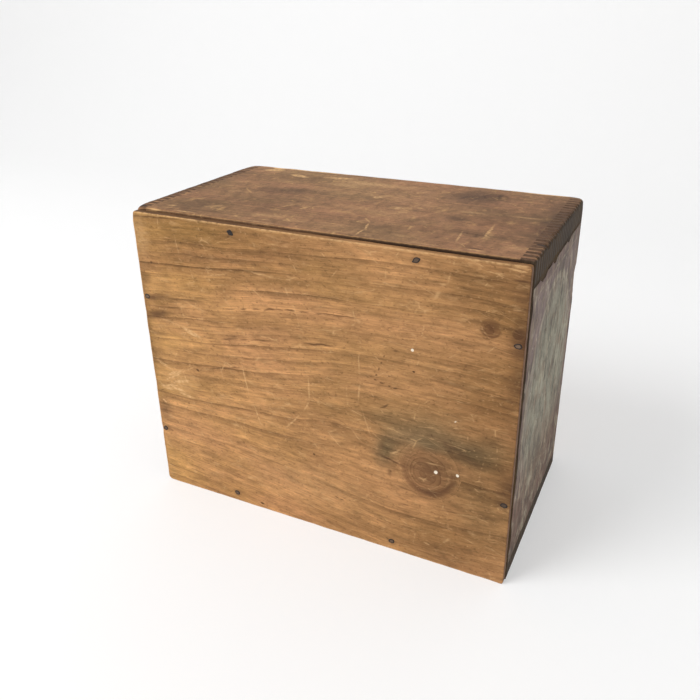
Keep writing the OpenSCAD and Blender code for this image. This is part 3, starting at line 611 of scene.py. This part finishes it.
# Pine of each board. Marks on the outer faces are placed in mm from the board's corner
PINE = {
    "wander": 8.0, "contrast": 0.85, "fibre": 0.22, "band": 0.16, "cloud": 0.2, "mottle": 0.26,
    "pits": 0.45, "scuff": 0.6, "hairs": 0.5, "dashes": 0.5, "gloss": 0.13, "mottle_mm": (9, 4, 4),
    "scuff_mm": (15, 5, 5), "edge_dirt_and_shade": 0.0, "edge_dirt_and_shade_far": 0.0, "rough": 0.6, "rubbed": 0.7,
    "rubbed_far": 0.7, "knots": (), "stains": (), "dirt": (), "paint": (), "fingers": None,
    "signs": (1, 1, 1), "inside": "#c9a577", "seam_dark": 0.75, "scratches": (), "browns": (),
    "blush": "#b4845a", "knot": "#6c4830", "stain": "#a6c2d6", "brown": "#b9b7ab", "grime_and_shade": "#4a3426",
    "bare": "#d6ab78", "drip": "#efe4cf", "seam": "#35261d",
}
bottom_pine = PINE | {
    "seed": 3.0, "corner": bottom_low, "axes": (0, 2, 1), "length": bottom_high.x - bottom_low.x,
    "pith": (243.0, 80.0, 180.0, 110.0, 0.62), "ring": 9.5, "thick": 5.6, "early": "#bb8d56",
    "early_far": "#a67b50", "late": "#7d5a39", "end": "#8c6a4e", "end_far": "#7a5b45", "grime_and_shade": "#4f3524",
    # Its top and bottom edge faces take dirt and painted recess shade, heavy at the left end and light at
    # the right
    "edge_dirt_and_shade": 0.85, "edge_dirt_and_shade_far": 0.2, "rubbed": 0.9, "rubbed_far": 0.0, "cloud": 0.16, "band": 0.2,
    "contrast": 1.0, "fibre": 0.19, "mottle": 0.32, "mottle_mm": (15, 5, 5), "blush": "#b7865a",
    "knots": ((245, 81.4, 18.5, 3.2, 0.75), (283, 202, 6.0, 3.4, 0.95), (300.7, 202.5, 3.4, 2.6, 0.9)),
    "browns": (
        (70, 232, 160, 46, -4, 0.8, 1), (30, 208, 44, 16, 8, 0.55, 1), (292, 110, 70, 150, 0, 0.7, 1),
        (262, 25, 60, 34, 5, 0.5, 1), (288, 225, 70, 40, 0, 0.68, 1), (296, 205, 24, 18, 0, 0.7, 1),
        (287, 143, 24, 14, 0, 0.5, 1), (2, 160, 6, 100, 0, 0.5, 1), (90, 172, 70, 10, 8, 0.35, 1),
        (52, 196, 62, 24, 4, 0.5, 1), (18, 170, 30, 16, 6, 0.6, 1), (303, 172, 18, 54, 0, 0.7, 1),
        (212, 89, 8, 13, 15, 0.4, 0.9), (299, 148, 22, 12, 0, 0.5, 1), (60, 120, 60, 34, 10, 0.3, 1),
        (284, 163, 30, 30, 0, 0.35, 1),
    ),
    "stains": (
        (234, 110, 24, 15, 14, 0.55, 1), (250, 113, 26, 15, -8, 0.52, 1), (264, 107, 22, 15, -18, 0.5, 1),
        (277, 106, 24, 18, -15, 0.68, 1), (220, 102, 24, 19, 25, 0.5, 1), (211, 90, 14, 24, -12, 0.7, 1),
        (212, 117, 28, 15, 0, 0.4, 1), (246, 124, 48, 16, 0, 0.3, 1), (291, 110, 20, 24, 0, 0.48, 1),
        (245, 104, 22, 9, 0, 0.75, 1), (250, 92, 58, 46, 0, 0.25, 1), (288, 60, 34, 50, 0, 0.25, 1),
    ),
    "dirt": (
        (233, 110, 12, 4, 20, 0.22, 1), (246, 112, 12, 4, -5, 0.22, 1), (259, 108, 12, 4, -18, 0.35, 1),
        (269, 102.5, 12, 4, -22, 0.42, 1), (279, 98, 9, 4, -20, 0.3, 1), (207, 90, 4, 18, -14, 0.22, 1),
        (262, 102, 11, 4, -46, 0.35, 1), (268, 92, 8, 4, -65, 0.3, 1), (213, 83.5, 6, 1.5, -8, 0.85, 0.8),
        (219, 81.8, 5, 1.4, -12, 0.75, 0.8), (225, 80.8, 5, 1.2, -10, 0.5, 0.9),
        (214.7, 72, 3, 5, 0, 0.5, 1), (248, 64, 20, 5, 6, 0.5, 1), (261, 73, 11, 3, 45, 0.45, 1),
        (1, 150, 2.5, 90, 0, 0.4, 1), (1, 40, 2, 40, 0, 0.3, 1), (83, 179.9, 6, 0.9, 9, 0.5, 0.8),
        (96, 182.0, 4, 0.9, 9, 0.6, 0.8), (107, 183.8, 5, 0.9, 9, 0.55, 0.8),
        (119, 185.9, 7, 1.3, 9, 0.7, 0.7), (136, 188, 6, 1.2, 5, 0.7, 0.7),
        (127, 187.0, 4, 0.9, 5, 0.5, 0.8), (147, 188.8, 5, 0.9, 5, 0.6, 0.8),
        (160, 189.8, 4, 0.9, 5, 0.5, 0.8), (62, 151.6, 6, 1, 9, 0.5, 0.8),
        (79, 154.2, 8, 1.1, 9, 0.65, 0.8), (94, 156.6, 5, 1, 9, 0.5, 0.8),
        (109, 158.8, 14, 1, 8, 0.55, 0.7), (73, 127.5, 27, 1.1, 14, 0.5, 0.7),
        (12, 163, 20, 5.0, 9, 0.75, 1), (16, 178.3, 24, 4.0, 6, 0.65, 1), (40, 180, 22, 1.2, 5, 0.5, 0.7),
        (89.5, 240, 6, 4.5, 0, 0.4, 0.9), (232, 240, 6, 4.5, 0, 0.4, 0.9), (74, 8, 6, 4.5, 0, 0.4, 0.9),
        (217, 8, 6, 4.5, 0, 0.4, 0.9), (8, 177, 8, 4, 0, 0.45, 0.9), (7, 54, 6, 4, 0, 0.4, 0.9),
        (299, 70, 7, 4, 0, 0.4, 0.9), (176, 191.2, 20, 0.8, 3, 0.55, 0.6),
        (158, 165.4, 17, 1.1, 6, 0.8, 0.7), (46.3, 120, 2.2, 1.4, -30, 0.8, 0.6),
        (13.2, 206.7, 1.5, 1.2, 0, 0.7, 0.6), (41, 222, 2.5, 2, 40, 0.4, 0.8),
        (151, 69.4, 1.3, 1.1, 0, 0.8, 0.5), (170, 34.6, 2.5, 0.8, -10, 0.8, 0.6),
        (174.5, 33.6, 2.2, 0.8, -10, 0.8, 0.6), (98.7, 5, 2.6, 1.3, 0, 0.85, 0.5),
        (231.8, 159.8, 1.2, 1, 0, 0.95, 0.4), (218.5, 172.8, 2.5, 1.8, 0, 0.5, 0.8),
        (210.3, 127.3, 6, 1.2, 35, 0.6, 0.7), (203.5, 147, 1.8, 0.9, 0, 0.7, 0.7),
        (208.5, 145.8, 2.2, 0.9, -10, 0.7, 0.7), (214, 144.5, 1.6, 0.9, -10, 0.7, 0.7),
        (218.5, 143.6, 2.4, 1, 20, 0.75, 0.7), (204, 151, 1.2, 1, 68, 0.7, 0.7),
        (206, 156, 1.6, 0.9, 68, 0.7, 0.7), (208, 161.5, 1.4, 0.9, 68, 0.65, 0.7),
        (210, 167, 1.6, 0.9, 68, 0.6, 0.7), (300, 236, 8, 1, 0, 0.6, 0.8), (22, 166, 24, 2.2, 6, 0.3, 0.9),
        (14, 146, 18, 3.0, 8, 0.4, 1), (306, 225, 16, 25, 0, 0.45, 1), (306, 195, 17, 22, 0, 0.9, 1),
        (306, 165, 17, 24, 0, 0.55, 1), (306, 125, 15, 25, 0, 0.25, 1), (306, 85, 17, 26, 0, 0.6, 1),
        (4, 192, 10, 16, 0, 0.4, 1), (6, 128, 12, 26, 0, 0.38, 1), (6, 76, 12, 24, 0, 0.38, 1),
        (60, 10, 60, 14, 0, 0.2, 1), (170, 10, 60, 15, 0, 0.24, 1), (255, 12, 60, 16, 0, 0.25, 1),
    ),
    "scratches": (
        (219.3, 91.2, 6.5, 1.2, 38, 0.65, 0.8), (92, 122, 18, 1.1, -81, 0.75, 0.8),
        (101, 91.5, 12, 1.1, -72, 0.75, 0.8), (148.8, 127, 13.5, 1.1, 90, 0.8, 0.8),
        (146, 111, 6.5, 1.1, 62, 0.75, 0.8), (134, 95, 14, 1.1, 49, 0.8, 0.8),
        (190.5, 157, 13, 1.1, 92, 0.5, 0.9), (190.5, 134, 12, 1.1, 84, 0.5, 0.9),
        (196.5, 108, 17, 1.1, -72, 0.5, 0.9), (72, 128, 8, 0.9, 60, 0.45, 0.8),
        (82, 140, 9, 0.9, 10, 0.45, 0.8), (70, 122, 9, 1, 100, 0.4, 0.8), (27, 104, 26, 16, 8, 0.4, 1),
        (13, 117, 12, 1.8, -25, 0.8, 0.7), (12, 96, 9, 2.2, -8, 0.8, 0.7), (16, 99, 15, 1, 12, 0.9, 0.6),
        (20, 108, 13, 1.2, 30, 0.9, 0.6), (33, 109, 1.2, 9, 20, 0.6, 0.7), (36, 118, 10, 1, 30, 0.5, 0.7),
        (50, 176, 12, 1.4, -15, 0.5, 0.8), (72, 205, 16, 1.2, 14, 0.5, 0.8),
        (112, 212, 18, 1.2, -6, 0.45, 0.8), (40, 224, 1, 10, 8, 0.4, 0.8),
        (173, 222, 7, 0.9, 52, 0.35, 0.9), (45, 152.5, 11, 2.6, -18, 1, 0.5),
        (22, 112, 10, 1.8, 25, 1, 0.5), (27, 105, 12, 1.6, 18, 0.95, 0.5),
        (24, 97, 11, 1.5, -12, 0.95, 0.5), (32, 93, 9, 1.7, -10, 0.9, 0.5), (7, 82, 3, 1.3, -25, 0.9, 0.5),
        (4, 15.7, 5, 1, -8, 0.7, 0.6), (87.6, 70.5, 6, 0.8, 90, 0.35, 0.9),
        (116, 106, 5.5, 0.8, 25, 0.55, 0.7), (147, 141, 2.6, 1.2, 0, 0.5, 0.8),
        (297, 243, 9, 0.9, -3, 0.7, 0.8), (283, 239, 10, 0.7, -8, 0.5, 0.8),
        (246, 16, 3, 1.3, -15, 0.6, 0.7), (268, 12, 4, 1, -15, 0.5, 0.8), (294, 29, 6, 1.2, -12, 0.5, 0.8),
        (280, 38, 5, 2, -10, 0.35, 0.9), (146, 38, 80, 34, 0, 0.22, 1), (5, 228, 12, 30, 0, 0.4, 1),
    ),
    "paint": (
        (250.5, 82.7, 1.7, 1.7, 0, 1, 0.3), (266.7, 84.6, 1.3, 1.3, 0, 1, 0.3),
        (230.6, 176, 1.2, 1.2, 0, 0.9, 0.3), (263, 128, 0.7, 1.2, -30, 0.6, 0.5),
    ),
}
side_pine = PINE | {
    "length": box_l, "axes": (0, 1, 2), "pith": (236.0, 140.0, 120.0, 60.0, 0.5), "ring": 5.5,
    "contrast": 0.6, "thick": side_t, "early": "#926f4b", "early_far": "#886647", "late": "#64482f",
    "inside": "#bd9a6d", "end": "#7a5f48", "end_far": "#3d342b", "blush": "#93694b", "grime_and_shade": "#33261e",
    # Their front and back edge faces take dirt and painted recess shade, more towards the label end
    "bare": "#d9ad77", "edge_dirt_and_shade": 0.55, "edge_dirt_and_shade_far": 0.95, "fingers": (finger_pitch, end_t),
    "cloud": 0.42, "mottle": 0.34, "fibre": 0.1, "band": 0.06, "dashes": 0.25, "mottle_mm": (8, 11, 8),
    "scuff_mm": (11, 14, 8), "stain": "#a9adb4", "rubbed": 0.3, "rubbed_far": 0.0, "seam_dark": 0.85,
}
upper_pine = side_pine | {
    "seed": 11.0, "corner": (side_low.x, side_low.y, side_high.z), "signs": (1, 1, -1),
    "knots": ((243, 137, 9, 3.0, 0.5),), "browns": ((258, 72, 70, 70, 0, 0.2, 1.0),),
    "stains": (
        (230, 131, 32, 28, 20, 1, 1), (232, 128, 42, 38, 10, 0.5, 1), (82, 90, 46, 15, 12, 0.8, 1),
        (234, 66, 15, 10, 0, 0.65, 1), (205, 46, 8, 28, -30, 0.5, 1), (12, 100, 16, 80, 0, 0.5, 1),
        (298, 95, 26, 100, 0, 0.5, 1), (26, 20, 32, 24, 0, 0.35, 1), (140, 96, 40, 10, 6, 0.35, 1),
    ),
    "dirt": (
        (246, 138, 3.5, 13, 8, 0.65, 0.9), (221, 126, 4, 13, -20, 0.4, 1), (306, 80, 20, 120, 0, 0.6, 1),
        (0, 85, 9, 100, 0, 0.9, 1), (84, 42, 2, 1, 30, 0.5, 0.7), (182, 1.5, 5, 1.4, 0, 0.7, 0.8),
        (267, 8, 8, 1.4, 0, 0.7, 0.8), (259, 34, 3, 7, 0, 0.5, 1), (303, 33, 5, 4.0, 0, 0.95, 0.5),
        (4, 5, 5, 4, 0, 0.95, 0.6),
    ),
    "scratches": (
        (30, 152, 11, 5.5, 25, 1, 0.4), (63.7, 140, 12, 4.5, -12, 1, 0.4),
        (100, 146, 17, 3.6, 10, 0.9, 0.5), (118, 126, 26, 12, 0, 0.5, 1), (100, 150, 90, 14, 0, 0.25, 1),
        (132, 138, 50, 9, 0, 0.7, 1), (158, 100, 5, 4, 40, 0.8, 0.6), (163, 107, 7, 1.8, 25, 0.6, 0.7),
        (185, 77, 10, 7, 0, 0.6, 0.9), (200, 83, 3.5, 3, 0, 0.6, 0.7), (106, 50, 2, 12, -30, 0.45, 0.8),
        (120.5, 49, 2.5, 9, -15, 0.6, 0.8), (106, 20, 24, 6, 0, 0.35, 1), (185, 10, 1.2, 10, 0, 0.8, 0.7),
        (183.4, 25, 1.2, 10, 14, 0.8, 0.7), (178, 38, 1.2, 8, 40, 0.6, 0.7),
        (264, 47, 1.5, 22, 4, 0.75, 0.7), (267, 36, 4, 13, 0, 0.45, 1), (249.5, 27, 1.2, 18, 8, 0.65, 0.8),
        (241, 87, 15, 3.5, 0, 0.45, 0.9), (280, 89, 18, 3.5, 0, 0.45, 0.9), (24, 14, 7, 3, 10, 0.6, 0.8),
        (42, 4, 14, 1.8, 0, 0.7, 0.8), (56, 26, 9, 5, 30, 0.45, 0.9), (42, 71, 8, 3, 20, 0.5, 0.9),
        (9, 9, 3, 2.5, 0, 0.8, 0.8), (65, 161.5, 52, 3.6, 0, 0.95, 0.6), (275, 161.5, 26, 3.6, 0, 0.9, 0.6),
        (267, 5.5, 8, 1.2, 0, 0.8, 0.7), (232, 4, 18, 1.6, 0, 0.5, 0.9), (110, 3, 30, 1.6, 0, 0.45, 0.9),
        (216, 14, 12, 4, 0, 0.4, 1), (290, 20, 10, 5, 0, 0.35, 1),
    ),
}
lower_pine = side_pine | {
    "seed": 17.0, "corner": (side_low.x, side_low.y, 0), "pith": (90.0, 30.0, 120.0, 50.0, 0.5),
    "scratches": (
        (80, 90, 30, 1, 12, 0.5, 0.8), (200, 60, 40, 1.2, -5, 0.5, 0.8), (240, 120, 22, 0.9, 30, 0.5, 0.8),
    ),
}
end_pine = PINE | {
    "length": box_h, "axes": (2, 1, 0), "pith": (120.0, 70.0, 100.0, 60.0, 0.4), "ring": 6.0,
    "contrast": 0.6, "thick": end_t, "early": "#4e4338", "early_far": "#4a3f34", "late": "#392f26",
    "inside": "#bd9a6d", "end": "#6b513d", "end_far": "#685040", "blush": "#54432f", "grime_and_shade": "#2e2620",
    "bare": "#86694f", "pits": 0.25, "fingers": (finger_pitch, side_t), "scuff": 0.25, "rubbed": 0.1,
    "rubbed_far": 0.0, "seam_dark": 0.22, "gloss": 0.04, "rough": 0.75, "hairs": 0.3,
}
hinge_end_pine = end_pine | {
    "seed": 23.0, "corner": (side_low.x, side_low.y, 0), "rubbed": 0.5, "bare": "#c99e70",
    "early": "#926f4e", "early_far": "#8c6b4b", "late": "#6d503a", "blush": "#986a50", "scuff": 0.5,
    "seam_dark": 0.7,
    "scratches": (
        (60, 50, 26, 1, 8, 0.5, 0.8), (150, 100, 34, 1, -12, 0.5, 0.8), (190, 40, 18, 0.9, 35, 0.5, 0.8),
    ),
}
label_end_pine = end_pine | {
    "seed": 29.0, "corner": (side_high.x, side_low.y, 0), "signs": (-1, 1, 1),
}
lid_pine = PINE | {
    "seed": 37.0, "corner": (lid_low.x, lid_high.y, lid_low.z), "signs": (1, -1, 1), "axes": (0, 2, 1),
    "length": lid_high.x - lid_low.x, "pith": (70.0, 150.0, 150.0, 90.0, 0.6), "ring": 6.0, "thick": 8.0,
    "early": "#ac8258", "early_far": "#a17a53", "late": "#7b5a3b", "end": "#93715b", "end_far": "#93715b",
    "edge_dirt_and_shade": 0.6, "edge_dirt_and_shade_far": 0.6, "knots": ((70, 150, 13, 2.6, 0.7), (215, 60, 7, 2.2, 0.8)),
    "scratches": (
        (180, 120, 30, 1, 25, 0.5, 0.8), (110, 60, 24, 0.9, -35, 0.5, 0.8), (240, 190, 20, 1, 70, 0.5, 0.8),
        (40, 40, 14, 2.5, 10, 0.4, 0.9),
    ),
}
batten_pine = PINE | {
    "seed": 41.0, "corner": hinge_batten_low, "axes": (2, 0, 1), "scuff": 0.2,
    "length": hinge_batten_high.z - hinge_batten_low.z, "pith": (60.0, 10.0, 80.0, 30.0, 0.3), "ring": 4.5,
    "thick": NO_INSIDE, "early": "#c7a171", "early_far": "#c29c6c", "late": "#a37a4f", "end": "#a98561",
    "end_far": "#a98561", "blush": "#bf9468", "pits": 0.25,
}

# Worn places on the frame, shared by its boards so that the fingers stay flush at the corners
FRAME_WORN = (
    ((side_low.x, side_low.y, box_h), 3.2, (6, 6, 6), 0.0),
    ((side_low.x, side_high.y, box_h), 4.0, (7, 7, 7), 0.1),
    ((side_high.x, side_high.y, box_h), 2.5, (6, 6, 6), 0.0),
    ((-123.5, side_high.y, box_h), 1.4, (8, 8, 5), 0.9), ((-90, side_high.y, box_h), 1.0, (10, 3, 4), 0.5),
    ((127, side_high.y, box_h), 1.0, (18, 3, 4), 0.8), ((side_high.x, 0, box_h), 1.8, (5, 120, 5), 0.0),
    ((side_high.x, -46.5, box_h), 2.4, (3, 3, 3), 0.0), ((-135, side_low.y, box_h), 0.8, (12, 4, 3), 0.5),
    ((-60, side_low.y, box_h), 0.8, (80, 4, 4), 0.0),
)
BOTTOM_WORN = (
    ((146, bottom_low.y, bottom_high.z), 1.0, (9, 4, 3), 0.5),
    ((-153, bottom_low.y, bottom_high.z), 1.6, (5, 5, 5), 0.0),
    ((-70, bottom_low.y, bottom_high.z), 0.7, (110, 4, 4), 0.2),
    ((-152, bottom_low.y, 162), 0.7, (4, 4, 4), 0.0), ((-152, bottom_low.y, 100), 0.8, (4, 4, 6), 0.0),
    ((-152, bottom_low.y, 52), 0.8, (4, 4, 3), 0.0),
)


def panel_bow(at):
    """How far the bottom board has sprung off the frame along its upper right edge, in mm towards -Y."""
    along = min(max((at.x + 20) / 90, 0.0), 1.0) * min(max((bottom_high.x - at.x) / 30, 0.35), 1.0)
    return -0.7 * along * min(max((at.z - 190) / 56, 0.0), 1.0) ** 2


rubbed_board("bottom_board_rubbed", "bottom_board", "box",
             aged_pine("pine_planed_bottom", bottom_pine), 0.8, BOTTOM_WORN, bow=panel_bow,
             pockets=bottom_low.y * MM)
for name, board, slot in (("upper_side_board", upper_pine, "side_pine"),
                          ("lower_side_board", lower_pine, "side_pine"),
                          ("hinge_end_board", hinge_end_pine, "end_pine"),
                          ("label_end_board", label_end_pine, "end_pine")):
    rubbed_board(name + "_rubbed", name, "box", aged_pine("pine_planed_" + name, board), 0.7,
                 FRAME_WORN, whole=joined_frame)
rubbed_board("lid_board_rubbed", "lid_board", "lid", aged_pine("pine_planed_lid", lid_pine),
             0.8, pockets=lid_high.y * MM)
batten_finish = aged_pine("pine_sawn_batten", batten_pine)
for name in ("hinge_batten", "front_batten"):
    rubbed_board(name + "_rubbed", name, "lid", batten_finish, 0.6)

# Label: torn a little along its edges, lifting at them, in mm
TEAR, LIFT, CREASE, PASTE = 9.0, 0.45, 0.12, 0.03
bm, low, high = cut_cells("paper_label", 3.0, ())
low, high = low / MM, high / MM
for vert in bm.verts:
    at = vert.co / MM
    for axis, other in ((1, 2), (2, 1)):
        side = 1 if at[axis] - low[axis] < 0.01 else -1 if high[axis] - at[axis] < 0.01 else 0
        tear = TEAR * max(0.0, noise.noise(Vector((at[other] / 19, axis * 9.1, side * 3.3))) - 0.16)
        tear += 0.7 * abs(noise.noise(Vector((at[other] / 4.3, axis * 5.3, side * 2.7))))
        vert.co[axis] += side * tear * MM
    to_edge = min(at.y - low.y, high.y - at.y, at.z - low.z, high.z - at.z)
    lift = LIFT * math.exp(-to_edge / 5) * max(0.0, noise.noise(Vector((at.y / 16, at.z / 16, 2))) + 0.1)
    crease = CREASE * max(0.0, noise.noise(Vector((at.y / 5, at.z / 40, 7))))
    vert.co.x += (PASTE + lift + crease) * MM
add_piece("paper_label_torn", bm, "box", "paper_label",
          printed_paper("paper_printed_worn", low, high))

# Nails: cut shanks, and heads beaten round and a little proud over their holes
cut_iron = oxidised("iron_cut_oxidised", "#765d48", "#211c19", "#3d2a20", 2.2, 0.15, 0.82)
beaten_nails("bottom_nails_beaten", "bottom_nails", "box", cut_iron,
             (0.5, 0.8, 0.6, 0.0, 0.7, 0.5, 0.35, 0.9), panel_bow)
beaten_nails("batten_nails_beaten", "batten_nails", "lid", cut_iron, (0.3, 0.6, 0.1, 0.5, 0.2, 0.7))

# Hinges and screws keep their CAD shapes, with their edges eased
browned_steel = oxidised("steel_rolled_browned", "#8a8074", "#4a3a2d", "#6b4226", 5.0, 0.85, 0.5)
turned_steel = oxidised("steel_turned_browned", "#7f776c", "#3d3128", "#5e3b25", 2.5, 0.85, 0.5)
for node_name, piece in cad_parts.items():
    if "screws" in node_name:
        finish, ease = turned_steel, 0.12
    elif "hinge" in node_name and "batten" not in node_name and "board" not in node_name:
        finish, ease = browned_steel, 0.18
    else:
        continue
    piece.data.materials.clear()
    piece.data.materials.append(finish)
    bevel = piece.modifiers.new("eased_edges", "BEVEL")
    bevel.width = ease * MM
    bevel.segments = 2
    bevel.limit_method = "ANGLE"
    bevel.angle_limit = math.radians(50)

# Floor that sweeps up into a backdrop
SWEEP_Y, SWEEP_R = 0.9, 0.7
FLOOR_FRONT, WALL_TOP, HALF_WIDTH = -4.0, 3.0, 5.0
profile = [(FLOOR_FRONT, 0.0), (SWEEP_Y, 0.0)]
profile += [(SWEEP_Y + SWEEP_R * math.sin(a), SWEEP_R * (1 - math.cos(a)))
            for a in (math.radians(6 * i) for i in range(1, 16))]
profile += [(SWEEP_Y + SWEEP_R, WALL_TOP)]
floor_mesh = bpy.data.meshes.new("floor_sweep")
floor_mesh.from_pydata([(x, y, z) for y, z in profile for x in (-HALF_WIDTH, HALF_WIDTH)], [],
                       [(2 * i, 2 * i + 1, 2 * i + 3, 2 * i + 2) for i in range(len(profile) - 1)])
floor_mesh.shade_smooth()
floor = bpy.data.objects.new("floor_sweep", floor_mesh)
bpy.context.scene.collection.objects.link(floor)

# Matt white card: a share of plain white where the camera sees it, and the shadow in the rest
WHITE_SHARE = 0.4
floor_finish, floor_tree = new_material("card_white_matt")
on_floor = partial(add, floor_tree)
lit = on_floor("BsdfDiffuse", {"Color": linear("#ffffff")})
white = on_floor("Emission", {"Color": linear("#ffffff"), "Strength": 1.0})
share = on_floor("Math", [seen_directly(floor_tree), WHITE_SHARE], operation="MULTIPLY")
on_floor("OutputMaterial", {"Surface": on_floor("MixShader", [share, lit, white])}, out=None)
floor_mesh.materials.append(floor_finish)

# Light: an even white room that lights at half strength, and a large soft window from the left and front
ROOM_LIGHT = 0.5
world = bpy.data.worlds.new("studio")
world.use_nodes = True
world.node_tree.nodes.clear()
in_world = partial(add, world.node_tree)
strength = in_world("MapRange", [seen_directly(world.node_tree), 0.0, 1.0, ROOM_LIGHT, 1.0])
room = in_world("Background", {"Color": linear("#ffffff"), "Strength": strength})
in_world("OutputWorld", {"Surface": room}, out=None)
bpy.context.scene.world = world
window_data = bpy.data.lights.new("window", "AREA")
window_data.shape = "DISK"
window_data.size = 1.5
window_data.energy = 43
window = bpy.data.objects.new("window", window_data)
window.location = (-1.2, -1.4, 1.8)
window.rotation_euler = (Vector((0, 0, 0.12)) - window.location).to_track_quat("-Z", "Y").to_euler()
bpy.context.scene.collection.objects.link(window)
